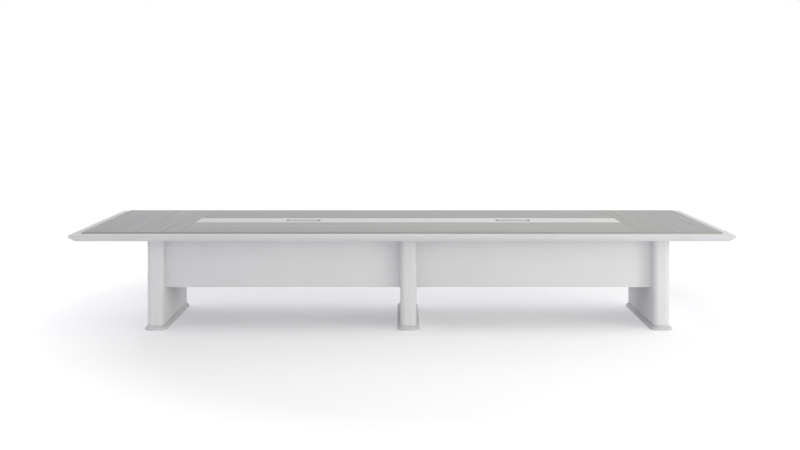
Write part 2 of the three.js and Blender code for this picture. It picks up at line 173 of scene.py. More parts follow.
class Workpiece:
    """A mesh on the bench, shaped with Blender's own modelling operators."""

    # The least angle at an edge that is bevelled, and the greatest that is shaded smooth
    SHARP = math.radians(20)
    SMOOTH = math.radians(32)

    def __init__(self, piece: Object) -> None:
        """Takes an object that has just been made."""
        self.piece = piece

    @property
    def node(self) -> str:
        """The node that the piece stands for."""
        return self.piece.name.removeprefix(named(""))

    @classmethod
    def block(cls, name: str, low: Point, high: Point) -> Self:
        """A block between two corners.

        Args:
            name: Name of the piece.
            low: Lowest corner, in metres.
            high: Highest corner, in metres.

        Returns:
            The block as a workpiece.
        """
        clear_bench()
        low, high = Vector(low), Vector(high)
        bpy.ops.mesh.primitive_cube_add(size=1, location=(low + high) / 2, scale=high - low)
        return cls._settled(name)

    @classmethod
    def rod(cls, name: str, radius: float, start: Point, end: Point, sides: int = 48) -> Self:
        """A round bar between two points.

        Args:
            name: Name of the piece.
            radius: Radius in metres.
            start: Middle of one end.
            end: Middle of the other end.
            sides: Sides of the round.

        Returns:
            The bar as a workpiece.
        """
        clear_bench()
        start, end = Vector(start), Vector(end)
        way = end - start
        bpy.ops.mesh.primitive_cylinder_add(
            vertices=sides,
            radius=radius,
            depth=way.length,
            location=(start + end) / 2,
            rotation=way.to_track_quat("Z", "Y").to_euler(),
        )
        return cls._settled(name)

    @classmethod
    def _settled(cls, name: str) -> Self:
        """Names the new active object and moves its place into its mesh.

        Args:
            name: Name of the piece.

        Returns:
            The object as a workpiece.
        """
        bpy.ops.object.transform_apply(location=True, rotation=True, scale=True)
        bpy.context.object.name = name
        return cls(bpy.context.object)

    def _open(self, mode: Mode) -> None:
        """Makes this the only selected object.

        Args:
            mode: The mode that it is put in.
        """
        if bpy.context.object is not self.piece:
            clear_bench()
        elif bpy.context.mode == Mode.OBJECT.value:
            bpy.ops.object.select_all(action="DESELECT")
        self.piece.select_set(True)
        bpy.context.view_layer.objects.active = self.piece
        bpy.ops.object.mode_set(mode=mode.value)

    def _pick(self, mark: Mark, test: Test) -> Self:
        """Selects the faces, or the sharp edges, that pass a test.

        Args:
            mark: Whether faces or edges are picked.
            test: The test of their middle and their normal or direction.

        Returns:
            This workpiece.
        """
        self._open(Mode.EDIT)
        bpy.ops.mesh.select_mode(type=mark.value)
        bpy.ops.mesh.select_all(action="DESELECT")
        mesh = bmesh.from_edit_mesh(self.piece.data)
        if mark is Mark.FACE:
            for face in mesh.faces:
                face.select_set(test(face.calc_center_median(), face.normal))
        else:
            for edge in mesh.edges:
                start, end = (vertex.co for vertex in edge.verts)
                sharp = edge.calc_face_angle(0) > self.SHARP
                edge.select_set(sharp and test((start + end) / 2, (end - start).normalized()))
        mesh.select_flush_mode()
        bmesh.update_edit_mesh(self.piece.data)
        return self

    def faces(self, test: Test) -> Self:
        """Selects the faces whose middle and normal pass a test."""
        return self._pick(Mark.FACE, test)

    def edges(self, test: Test) -> Self:
        """Selects the sharp edges whose middle and direction pass a test."""
        return self._pick(Mark.EDGE, test)

    def bevel(self, width: float, segments: int = 2) -> Self:
        """Rounds the selected edges."""
        bpy.ops.mesh.bevel(offset=width, segments=segments, affect="EDGES", clamp_overlap=False)
        return self

    def inset(self, width: float) -> Self:
        """Insets the selected faces."""
        bpy.ops.mesh.inset(thickness=width, use_even_offset=True)
        return self

    def extrude(self, offset: Point) -> Self:
        """Extrudes the selected faces along an offset."""
        bpy.ops.mesh.extrude_region_move(TRANSFORM_OT_translate={"value": offset})
        return self

    def move(self, offset: Point) -> Self:
        """Moves what is selected."""
        bpy.ops.transform.translate(value=offset)
        return self

    def bridge(self) -> Self:
        """Joins two selected faces by a tunnel."""
        bpy.ops.mesh.bridge_edge_loops()
        return self

    def split(self, point: Point, normal: Point, trim: bool = True) -> Self:
        """Splits the mesh by a plane.

        Args:
            point: A point of the plane.
            normal: The plane's normal.
            trim: Whether the part that the normal points to is cut off.

        Returns:
            This workpiece.
        """
        self._open(Mode.EDIT)
        bpy.ops.mesh.select_all(action="SELECT")
        way = Vector(normal).normalized()
        bpy.ops.mesh.bisect(plane_co=point, plane_no=way, use_fill=trim, clear_outer=trim)
        return self

    def shape(self, join: Join, *tools: "Workpiece") -> Self:
        """Cuts or welds other workpieces, which are used up.

        Args:
            join: Whether the tools are cut away or welded on.
            tools: The other workpieces.

        Returns:
            This workpiece.
        """
        for tool in tools:
            self._open(Mode.OBJECT)
            modifier = self.piece.modifiers.new("shape", "BOOLEAN")
            modifier.operation = join.value
            modifier.solver = "EXACT"
            modifier.object = tool.piece
            bpy.ops.object.modifier_apply(modifier=modifier.name)
            bpy.data.objects.remove(tool.piece)
        return self

    def arrange(self, slot: int, test: Test) -> Self:
        """Gives a material slot to some of the faces.

        Args:
            slot: Number of the slot.
            test: The test that the faces pass.

        Returns:
            This workpiece.
        """
        self._open(Mode.OBJECT)
        for face in self.piece.data.polygons:
            if test(face.center, face.normal):
                face.material_index = slot
        return self

    def place(self, matrix: Matrix) -> Self:
        """Moves or turns the whole mesh.

        Args:
            matrix: Where it goes, from where it is.

        Returns:
            This workpiece.
        """
        self._open(Mode.OBJECT)
        self.piece.data.transform(matrix)
        return self

    def copy(self, name: str, matrix: Matrix) -> "Workpiece":
        """A copy with its own mesh.

        Args:
            name: Name of the copy.
            matrix: Where the copy goes, from where this is.

        Returns:
            The copy as a workpiece.
        """
        self._open(Mode.OBJECT)
        piece = self.piece.copy()
        piece.data = self.piece.data.copy()
        piece.data.transform(matrix)
        piece.name = name
        bpy.context.scene.collection.objects.link(piece)
        return Workpiece(piece)

    def finished(self) -> Object:
        """Shades rounds smooth and keeps edges crisp.

        Returns:
            The object.
        """
        self._open(Mode.OBJECT)
        bpy.ops.object.shade_smooth_by_angle(angle=self.SMOOTH)
        return self.piece


def named(node: str) -> str:
    """The name of the finished piece that stands for a node."""
    return f"finished_{node}"


def middle_of(node: str) -> Vector:
    """The middle of a node's box."""
    low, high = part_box(node)
    return (low + high) / 2


def near(value: float, target: float) -> bool:
    """Whether two measures are the same but for rounding."""
    return abs(value - target) < TOLERANCE


def along(axis: int) -> Test:
    """A test for edges along an axis, or for faces that look along it either way."""
    return lambda middle, way: abs(way[axis]) > ALONG


def across(axis: int) -> Test:
    """A test for edges square to an axis."""
    return lambda middle, way: abs(way[axis]) < 1 - ALONG


def upward(middle: Vector, normal: Vector) -> bool:
    """A test for faces that look up."""
    return normal.z > ALONG


def at_height(height: float) -> Test:
    """A test for edges at one height."""
    return lambda middle, way: near(middle.z, height)


def through(*points: Pair) -> Test:
    """A test for edges along X.

    Args:
        points: Where the edges run, by Y and Z.

    Returns:
        The test.
    """
    return lambda middle, way: abs(way.x) > ALONG and any(
        near(middle.y, y) and near(middle.z, z) for y, z in points
    )


def fit(work: Workpiece, slot: str, *finishes: Material) -> None:
    """Dresses a workpiece and sets it in the place of its node.

    Args:
        work: The modelled piece.
        slot: The record's material slot; not used.
        finishes: One material for each of its material slots.
    """
    node = work.node
    piece = work.finished()
    for finish in finishes[len(piece.data.materials) :]:
        piece.data.materials.append(finish)
    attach(piece, BODY_OF[node])
    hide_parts(node)
    LOG.info("%s rides on %s", piece.name, BODY_OF[node])


def twin(work: Workpiece, node: str, turn: float = 0.0) -> Workpiece:
    """Gives the piece for a node: the modelled one at its own node, and a copy at another.

    Args:
        work: The modelled piece.
        node: The node.
        turn: Turn of a copy about the upright, in radians.

    Returns:
        The piece for the node.
    """
    if node == work.node:
        return work
    there = Matrix.Translation(middle_of(node)) @ Matrix.Rotation(turn, 4, "Z")
    return work.copy(named(node), there @ Matrix.Translation(-middle_of(work.node)))


def linear(colour: str) -> tuple[float, float, float, float]:
    """An sRGB hex colour as the linear values that shaders take.

    Args:
        colour: Six hex digits after a hash sign.

    Returns:
        Red, green, blue and alpha.
    """
    shares = [int(colour[i : i + 2], 16) / 255 for i in (1, 3, 5)]
    red, green, blue = (c / 12.92 if c <= 0.04045 else ((c + 0.055) / 1.055) ** 2.4 for c in shares)
    return red, green, blue, 1.0


def feed(tree: NodeTree, node: Node, inputs: Inputs) -> None:
    """Sets or links the inputs of a node.

    Args:
        tree: The node tree.
        node: The node.
        inputs: A constant or a socket to link from, by input name or number.
    """
    for name, value in inputs.items():
        if isinstance(value, NodeSocket):
            tree.links.new(value, node.inputs[name])
        else:
            node.inputs[name].default_value = value


def add_node(tree: NodeTree, kind: str, inputs: Inputs | None = None, **options: Any) -> Node:
    """Adds a node with its settings and links.

    Args:
        tree: The node tree.
        kind: Blender's name of the node type, without the leading ShaderNode.
        inputs: A constant or a socket to link from, by input name or number.
        options: Properties of the node.

    Returns:
        The new node.
    """
    node = tree.nodes.new(f"ShaderNode{kind}")
    for name, value in options.items():
        setattr(node, name, value)
    feed(tree, node, inputs or {})
    return node


def leaning(tree: NodeTree, place: NodeSocket, lean: Triple, start: Any) -> NodeSocket:
    """A measure that changes evenly with place or direction, from a number or socket at the origin."""
    slope = add_node(tree, "VectorMath", {0: place, 1: lean}, operation="DOT_PRODUCT")
    return add_node(tree, "Math", {0: slope.outputs["Value"], 1: start}, operation="ADD").outputs[0]


def even(size: float) -> Triple:
    """Pattern scale for marks of one size each way, in metres."""
    return (1 / size,) * 3


@dataclass(frozen=True)
class Finish:
    """A surface finish, made as one material."""

    name: str

    def make(self) -> Material:
        """Makes the finish.

        Returns:
            A new material.
        """
        material = bpy.data.materials.new(self.name)
        material.use_nodes = True
        tree = material.node_tree
        feed(tree, tree.nodes["Principled BSDF"], self.look(tree))
        return material

    def look(self, tree: NodeTree) -> Inputs:
        """Adds the finish's pattern to a material and gives the inputs of its main shader."""
        raise NotImplementedError

    def marks(
        self,
        tree: NodeTree,
        scale: Triple,
        low: float,
        high: float,
        detail: float = 2.0,
        start: float = 0.3,
        end: float = 0.7,
    ) -> NodeSocket:
        """Adds soft irregular marks of a real size.

        Args:
            tree: The material's nodes.
            scale: Marks in a metre along X, Y and Z.
            low: Output where there is no mark.
            high: Output in the middle of a mark.
            detail: Finer steps within a mark.
            start: Noise level where a mark begins.
            end: Noise level where it is full.

        Returns:
            The socket that holds the marks.
        """
        place = add_node(tree, "TexCoord").outputs["Object"]
        sized = add_node(tree, "Mapping", {"Vector": place, "Scale": scale}).outputs["Vector"]
        noise = add_node(tree, "TexNoise", {"Vector": sized, "Scale": 1.0, "Detail": detail}).outputs[0]
        limits = {"From Min": start, "From Max": end, "To Min": low, "To Max": high}
        return add_node(tree, "MapRange", {"Value": noise, **limits}).outputs[0]

    def blend(self, tree: NodeTree, share: NodeSocket, first: Any, second: str) -> NodeSocket:
        """Mixes two colours by a pattern.

        Args:
            tree: The material's nodes.
            share: The share of the second colour.
            first: A hex colour, or the socket of another blend.
            second: A hex colour.

        Returns:
            The socket that holds the mixed colour.
        """
        base = linear(first) if isinstance(first, str) else first
        mix = add_node(tree, "Mix", {0: share, 6: base, 7: linear(second)}, data_type="RGBA")
        return mix.outputs[2]

    def relief(self, tree: NodeTree, height: NodeSocket, depth: float, strength: float) -> NodeSocket:
        """The normals of a fine relief, by its height pattern, its depth in metres and a strength."""
        inputs = {"Height": height, "Distance": depth, "Strength": strength}
        return add_node(tree, "Bump", inputs).outputs["Normal"]


@dataclass(frozen=True)
class GreyOakVeneer(Finish):
    """Grey-stained oak veneer, sliced, laid on board and sealed with satin lacquer.

    The eye sees long soft streaks along the grain, broad bands that are warmer or cooler, a painted warm
    light that turns the leaves a little warmer from left to right, and short dark pores that only show
    close by.
    """

    grain: Grain
    cool: str = "#b5b5be"
    warm: str = "#b9b8b1"
    streak: str = "#a8a7a6"
    pore: str = "#8a8887"
    # Painted warm light: the bands lean to the warm tone from left to right, as from the lamps on the
    # right
    painted_warm_light_lean: Triple = (0.12, 0.0, 0.0)
    band_size: Pair = (5.0, 220 * MM)
    streak_size: Pair = (1.4, 24 * MM)
    pore_size: Pair = (45 * MM, 1.3 * MM)
    pore_depth: float = 0.05 * MM
    roughness: Pair = (0.5, 0.58)

    def look(self, tree: NodeTree) -> Inputs:
        """Adds bands, streaks and pores.

        Args:
            tree: The material's nodes.

        Returns:
            The inputs of its main shader.
        """
        bands = self.marks(tree, self.grain.stretch(*self.band_size), 0, 1, detail=1)
        # Painted warm light: the bands lean towards the warm tone on the right
        bands = leaning(tree, add_node(tree, "TexCoord").outputs["Object"], self.painted_warm_light_lean, bands)
        streak_scale = self.grain.stretch(*self.streak_size)
        streaks = self.marks(tree, streak_scale, 0, high=0.75, detail=4)
        pores = self.marks(tree, self.grain.stretch(*self.pore_size), 0, high=0.6, start=0.56)
        colour = self.blend(tree, bands, self.cool, self.warm)
        colour = self.blend(tree, streaks, colour, self.streak)
        return {
            "Base Color": self.blend(tree, pores, colour, self.pore),
            "Roughness": self.marks(tree, streak_scale, *self.roughness, detail=4),
            "IOR": 1.45,
            "Specular IOR Level": 0.3,
            "Normal": self.relief(tree, pores, -self.pore_depth, strength=0.4),
        }


@dataclass(frozen=True)
class SatinLacquer(Finish):
    """Sprayed satin lacquer, or a smooth foil like it, on a filled board.

    The eye sees an even pale tone with a soft sheen, very slightly clouded, with a faint ripple.
    """

    tone: str
    cloud: str
    roughness: float = 0.62
    shine: float = 0.12
    roughness_spread: float = 0.03
    cloud_size: float = 320 * MM
    sheen_size: float = 60 * MM
    ripple_size: float = 3 * MM
    ripple_depth: float = 0.01 * MM

    def look(self, tree: NodeTree) -> Inputs:
        """Adds clouding, sheen and ripple.

        Args:
            tree: The material's nodes.

        Returns:
            The inputs of its main shader.
        """
        clouds = self.marks(tree, even(self.cloud_size), 0, 1)
        limits = self.roughness - self.roughness_spread, self.roughness + self.roughness_spread
        ripple = self.marks(tree, even(self.ripple_size), 0, 1)
        return {
            "Base Color": self.blend(tree, clouds, self.tone, self.cloud),
            "Roughness": self.marks(tree, even(self.sheen_size), *limits),
            "IOR": 1.47,
            "Specular IOR Level": self.shine,
            "Normal": self.relief(tree, ripple, self.ripple_depth, strength=0.5),
        }


@dataclass(frozen=True)
class BrushedAluminium(Finish):
    """Natural anodised aluminium, brushed along its length.

    The eye sees a pale metal with fine lines. They are drawn 1 mm wide, wider than real ones, so
    that they show.
    """

    tone: str = "#c1c2c5"
    line: str = "#afb0b3"
    line_size: Pair = (70 * MM, 1 * MM)
    line_depth: float = 0.01 * MM
    roughness: Pair = (0.34, 0.46)

    def look(self, tree: NodeTree) -> Inputs:
        """Adds brush lines in colour, sheen and relief.

        Args:
            tree: The material's nodes.

        Returns:
            The inputs of its main shader.
        """
        scale = Grain.ALONG_X.stretch(*self.line_size)
        lines = self.marks(tree, scale, 0, 1)
        return {
            "Base Color": self.blend(tree, lines, self.tone, self.line),
            "Roughness": self.marks(tree, scale, *self.roughness),
            "Metallic": 1.0,
            "Normal": self.relief(tree, lines, self.line_depth, strength=0.3),
        }


@dataclass(frozen=True)
class TurnedSteel(Finish):
    """Bright steel bar, drawn and turned.

    The eye sees fine rings round a shiny grey rod.
    """

    tone: str = "#b9bbbe"
    ring: str = "#9a9ca0"
    ring_size: Pair = (20 * MM, 0.6 * MM)
    roughness: Pair = (0.22, 0.34)

    def look(self, tree: NodeTree) -> Inputs:
        """Adds turning rings in colour and sheen.

        Args:
            tree: The material's nodes.

        Returns:
            The inputs of its main shader.
        """
        scale = Grain.ALONG_Y.stretch(*self.ring_size)
        rings = self.marks(tree, scale, 0, 1)
        return {
            "Base Color": self.blend(tree, rings, self.tone, self.ring),
            "Roughness": self.marks(tree, scale, *self.roughness),
            "Metallic": 1.0,
        }


@dataclass(frozen=True)
class PowderCoat(Finish):
    """Baked powder paint on sheet or tube steel.

    The eye sees an even colour with the fine orange peel of melted powder.
    """

    tone: str
    speck: str
    roughness: float = 0.5
    roughness_spread: float = 0.05
    speck_size: float = 1.2 * MM
    sheen_size: float = 8 * MM
    peel_depth: float = 0.05 * MM

    def look(self, tree: NodeTree) -> Inputs:
        """Adds specks, sheen and orange peel.

        Args:
            tree: The material's nodes.

        Returns:
            The inputs of its main shader.
        """
        specks = self.marks(tree, even(self.speck_size), 0, 1)
        limits = self.roughness - self.roughness_spread, self.roughness + self.roughness_spread
        return {
            "Base Color": self.blend(tree, specks, self.tone, self.speck),
            "Roughness": self.marks(tree, even(self.sheen_size), *limits),
            "IOR": 1.5,
            "Normal": self.relief(tree, specks, self.peel_depth, strength=0.6),
        }


@dataclass(frozen=True)
class MouldedPlastic(Finish):
    """Dark injection-moulded plastic with a spark-eroded grain.

    The eye sees a matt near-black surface with a fine even grain.
    """

    tone: str = "#2b2c2e"
    fleck: str = "#37383b"
    grain_size: float = 0.9 * MM
    grain_depth: float = 0.04 * MM
    roughness: Pair = (0.48, 0.62)

    def look(self, tree: NodeTree) -> Inputs:
        """Adds the grain in colour, sheen and relief.

        Args:
            tree: The material's nodes.

        Returns:
            The inputs of its main shader.
        """
        grain = self.marks(tree, even(self.grain_size), 0, 1)
        return {
            "Base Color": self.blend(tree, grain, self.tone, self.fleck),
            "Roughness": self.marks(tree, even(self.grain_size), *self.roughness),
            "IOR": 1.52,
            "Normal": self.relief(tree, grain, self.grain_depth, strength=0.7),
        }


@dataclass(frozen=True)
class Chipboard(Finish):
    """Raw chipboard: pressed wood chips in resin, sanded.

    The eye sees pale and brown chips a few millimetres long.
    """

    pale: str = "#c6ad86"
    brown: str = "#9c8058"
    dark: str = "#7a6142"
    chip_size: float = 6 * MM
    chip_depth: float = 0.1 * MM
    splinter_size: float = 2.5 * MM
    sheen_size: float = 4 * MM
    roughness: Pair = (0.75, 0.9)

    def look(self, tree: NodeTree) -> Inputs:
        """Adds two sizes of chip.

        Args:
            tree: The material's nodes.

        Returns:
            The inputs of its main shader.
        """
        chips = self.marks(tree, even(self.chip_size), 0, 1, start=0.4, end=0.6)
        splinters = self.marks(tree, even(self.splinter_size), 0, high=0.6, start=0.55)
        colour = self.blend(tree, chips, self.pale, self.brown)
        return {
            "Base Color": self.blend(tree, splinters, colour, self.dark),
            "Roughness": self.marks(tree, even(self.sheen_size), *self.roughness),
            "Normal": self.relief(tree, chips, self.chip_depth, strength=0.5),
        }


@dataclass(frozen=True)
class Lamp:
    """A soft lamp that points at the table, with its size in metres and its power in watts."""

    name: str
    place: Triple
    size: Pair
    power: float
    tone: str = "#fffff3"
    target: Triple = (0.0, 0.0, 0.4)

    def hang(self) -> None:
        """Adds the lamp to the scene."""
        data = bpy.data.lights.new(self.name, "AREA")
        data.shape = "RECTANGLE"
        data.size, data.size_y = self.size
        data.energy = self.power
        data.color = linear(self.tone)[:3]
        lamp = bpy.data.objects.new(self.name, data)
        lamp.location = self.place
        way = Vector(self.target) - Vector(self.place)
        lamp.rotation_euler = way.to_track_quat("-Z", "Y").to_euler()
        bpy.context.scene.collection.objects.link(lamp)


@dataclass
class Studio:
    """A white floor, a white surround, soft lamps and the camera."""

    floor_reach: float = 120.0
    floor_tone: str = "#fbfbfe"
    # The glow is painted lower in an oval round the table and leans lower to the left: painted shade
    shade_middle: Pair = (0.25, 0.45)
    shade_reach: Pair = (2.63, 3.7)
    shade_blend: Pair = (0.84, 1.15)
    near_lift: float = 0.202
    lift_lean: Triple = (0.02, 0.0, 0.0)
    far_lift: float = 0.385
    surround_tone: str = "#ffffff"
    surround_light: float = 1.45
    surround_lean: Triple = (0.0, 0.25, -1.195)
    lamps: tuple[Lamp, ...] = (
        Lamp("key_lamp", (5.5, -3.1, 1.9), (0.5, 3.0), 33.0),
        Lamp("side_lamp", (4.0, -5.0, 1.6), (2.5, 2.5), 25.0),
        Lamp("far_lamp", (10.0, -6.0, 1.2), (2.2, 2.2), 105.0),
        Lamp("front_lamp", (0.0, -12.0, 1.8), (3.0, 3.0), 98.0),
        Lamp("top_lamp", (1.0, -1.5, 4.5), (3.0, 3.0), 21.0),
    )
    image_width: float = 800.0
    focal_length: float = 1119.4
    horizon_rise: float = 135.0
    sensor_width: float = 36.0
    eye: Triple = (-0.014, -8.675, 1.759)

    def build(self) -> None:
        """Sets up floor, surround, lamps, camera and view."""
        self.floor()
        self.sky()
        for lamp in self.lamps:
            lamp.hang()
        self.camera()
        bpy.context.scene.view_settings.view_transform = "Standard"

    def seen_share(self, tree: NodeTree) -> NodeSocket:
        """Tells what the eye sees, directly, in gloss or through glass, from what only gives light.

        Args:
            tree: The node tree.

        Returns:
            A socket that is 1 for what is seen, and else 0.
        """
        path = add_node(tree, "LightPath").outputs
        seen = path["Is Camera Ray"]
        for ray in ("Is Glossy Ray", "Is Transmission Ray"):
            seen = add_node(tree, "Math", {0: seen, 1: path[ray]}, operation="MAXIMUM").outputs[0]
        return seen

    def floor(self) -> None:
        """Lays a plain floor that is white in the open and keeps the table's shadow.

        The eye sees it a little lifted. The lift is painted lower in an oval round the table, a painted
        shade over the table's real shadow, and lower on the left than on the right, a painted shade away
        from the lamps.
        """
        clear_bench()
        bpy.ops.mesh.primitive_plane_add(size=2 * self.floor_reach)
        floor = bpy.context.object
        floor.name = "studio_floor"
        material = bpy.data.materials.new("studio_paper")
        material.use_nodes = True
        tree = material.node_tree
        tree.nodes.clear()
        paper = add_node(tree, "BsdfDiffuse", {"Color": linear(self.floor_tone)})
        place = add_node(tree, "TexCoord").outputs["Object"]
        stretch = (*(1 / reach for reach in self.shade_reach), 0.0)
        shift = (*(-middle / reach for middle, reach in zip(self.shade_middle, self.shade_reach)), 0.0)
        oval = add_node(tree, "Mapping", {"Vector": place, "Location": shift, "Scale": stretch})
        way = add_node(tree, "VectorMath", {0: oval.outputs[0]}, operation="LENGTH")
        start, end = self.shade_blend
        lift_inputs = {
            "Value": way.outputs["Value"],
            "From Min": start,
            "From Max": end,
            "To Min": leaning(tree, place, self.lift_lean, self.near_lift),
            "To Max": self.far_lift,
        }
        lift = add_node(tree, "MapRange", lift_inputs).outputs[0]
        seen_inputs = {"Value": self.seen_share(tree), "To Min": 0.0, "To Max": lift}
        glow = add_node(tree, "Emission", {"Strength": add_node(tree, "MapRange", seen_inputs).outputs[0]})
        both = add_node(tree, "AddShader", {0: paper.outputs[0], 1: glow.outputs[0]})
        add_node(tree, "OutputMaterial", {"Surface": both.outputs[0]})
        floor.data.materials.append(material)

    def sky(self) -> None:
        """Makes the surround white to the eye, and as a light brighter at the walls than overhead.

        As a light it leans: it is strongest low at the back, against the lamps.
        """
        world = bpy.data.worlds.new("studio_surround")
        world.use_nodes = True
        tree = world.node_tree
        way = add_node(tree, "TexCoord").outputs["Generated"]
        light = leaning(tree, way, self.surround_lean, self.surround_light)
        inputs = {"Value": self.seen_share(tree), "To Min": light, "To Max": 1.0}
        strength = add_node(tree, "MapRange", inputs).outputs[0]
        feed(tree, tree.nodes["Background"], {"Color": linear(self.surround_tone), "Strength": strength})
        bpy.context.scene.world = world

    def camera(self) -> None:
        """Sets a level camera with its horizon above the middle of the picture."""
        data = bpy.data.cameras.new("camera")
        data.sensor_width = self.sensor_width
        data.lens = self.sensor_width * self.focal_length / self.image_width
        data.shift_y = -self.horizon_rise / self.image_width
        camera = bpy.data.objects.new("camera", data)
        camera.location = self.eye
        camera.rotation_euler = (math.pi / 2, 0.0, 0.0)
        bpy.context.scene.collection.objects.link(camera)
        bpy.context.scene.camera = camera


@dataclass
class BorderRails:
    """Four mitred rails with a blunt nose, which frame the raised panels."""

    finish: Material
    painted_light_top: Material
    painted_shade_band: Material
    border_width: float = 72 * MM
    border_fall: float = 1.4 * MM
    nose_height: float = 18.6 * MM
    nose_round: float = 2 * MM
    undercut_width: float = 36.7 * MM
    arris: float = 0.8 * MM

    # The least part of a normal that points out where a face belongs to the nose's band, which is painted
    # darker as shade
    shade_band_facing: float = 0.97

    def build(self) -> None:
        """Models a long and a short rail, and turns a copy of each to the far side."""
        low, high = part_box("edge_rail_front")
        front = self.rail(named("edge_rail_front"), high.x, -low.y)
        back = front.copy(named("edge_rail_back"), Matrix.Rotation(math.pi, 4, "Z"))
        low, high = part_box("edge_rail_left")
        side = self.rail(named("edge_rail_left"), high.y, -low.x)
        side.place(Matrix.Rotation(-math.pi / 2, 4, "Z"))
        other = side.copy(named("edge_rail_right"), Matrix.Rotation(math.pi, 4, "Z"))
        for work in (front, back, side, other):
            fit(work, "border_laminate", self.finish, self.painted_light_top, self.painted_shade_band)

    def rail(self, name: str, reach: float, depth: float) -> Workpiece:
        """Models a rail along X.

        Args:
            name: Name of the piece.
            reach: Half the rail's length.
            depth: Way from the middle of the table to the rail's outer face.

        Returns:
            The rail.
        """
        low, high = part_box("edge_rail_front")
        bottom, top, ledge = low.z, high.z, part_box("end_panel_left")[0].z
        outer = -depth
        inner = outer + self.border_width
        nose_top = top - self.border_fall
        nose_bottom = nose_top - self.nose_height
        rail = Workpiece.block(name, (-reach, outer, bottom), (reach, inner, top))
        rail.split((0, 0, ledge), (0, 0, 1), trim=False)
        rail.faces(lambda middle, normal: normal.y > ALONG and middle.z < ledge)
        rail.extrude((0, high.y - low.y - self.border_width, 0))
        rail.split((0, outer, nose_top), (0, -self.border_fall, self.border_width))
        rail.split((0, outer, nose_bottom), (0, bottom - nose_bottom, -self.undercut_width))
        rail.edges(lambda middle, way: abs(way.x) > ALONG and near(middle.y, outer))
        rail.bevel(self.nose_round, segments=5)
        rail.edges(through((inner, top), (outer + self.undercut_width, bottom))).bevel(self.arris)
        for sign in (-1, 1):
            rail.split((sign * reach, outer, 0), (sign, 1, 0))
        # The top faces take a lighter finish, painted light, and the nose's front band a darker one,
        # painted shade
        rail.arrange(1, upward)
        return rail.arrange(2, lambda middle, normal: normal.y < -self.shade_band_facing)


@dataclass
class RaisedTop:
    """Four veneer panels and the white strip between them."""

    grain_x: Material
    grain_y: Material
    edge_x: Material
    edge_y: Material
    strip_finish: Material
    edge_slope: float = 5 * MM
    arris: float = 0.8 * MM
    strip_arris: float = 0.5 * MM
    cut_gap: float = 0.3 * MM

    # The least part of a normal along Y or X where a face belongs to a long or a short edge, which takes
    # the painted shade
    long_edge_facing: float = 0.5
    short_edge_facing: float = 0.8

    def build(self) -> None:
        """Models the panels and the strip."""
        for side in Side:
            self.panel(f"end_panel_{side.value}", Grain.ALONG_Y)
        for end in End:
            self.panel(f"centre_panel_{end.value}", Grain.ALONG_X)
        self.strip()

    def panel(self, node: str, grain: Grain) -> None:
        """Models a panel whose edges take darker veneer tones, painted shade, and slope on the outside of
        the field.

        Args:
            node: The node that it stands for.
            grain: The way that its face grain runs.
        """
        low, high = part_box(node)
        panel = Workpiece.block(named(node), low, high)
        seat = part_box("edge_rail_front")[1].z
        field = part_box("end_panel_left")[0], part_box("end_panel_right")[1]
        for own, outline, sign in zip((low, high), field, (-1, 1)):
            for axis in (X, Y):
                if near(own[axis], outline[axis]):
                    normal = Vector((0, 0, self.edge_slope))
                    normal[axis] = sign * (high.z - seat)
                    panel.split((own.x, own.y, seat), normal)
        panel.edges(at_height(high.z)).bevel(self.arris, segments=3)
        panel.arrange(1, lambda middle, normal: abs(normal.y) > self.long_edge_facing)
        panel.arrange(2, lambda middle, normal: abs(normal.x) > self.short_edge_facing)
        face = self.grain_x if grain is Grain.ALONG_X else self.grain_y
        fit(panel, "grey_veneer", face, self.edge_x, self.edge_y)

    def strip(self) -> None:
        """Models the strip with its two cut-outs."""
        low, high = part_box("centre_strip")
        strip = Workpiece.block(named("centre_strip"), low, high)
        margin = Vector((self.cut_gap, self.cut_gap, self.cut_gap))
        for side in Side:
            box_low, box_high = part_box(f"cable_box_bezel_{side.value}")
            strip.shape(Join.CUT, Workpiece.block("cut_out", box_low - margin, box_high + margin))
        strip.edges(at_height(high.z)).bevel(self.strip_arris)
        fit(strip, "strip_laminate", self.strip_finish)


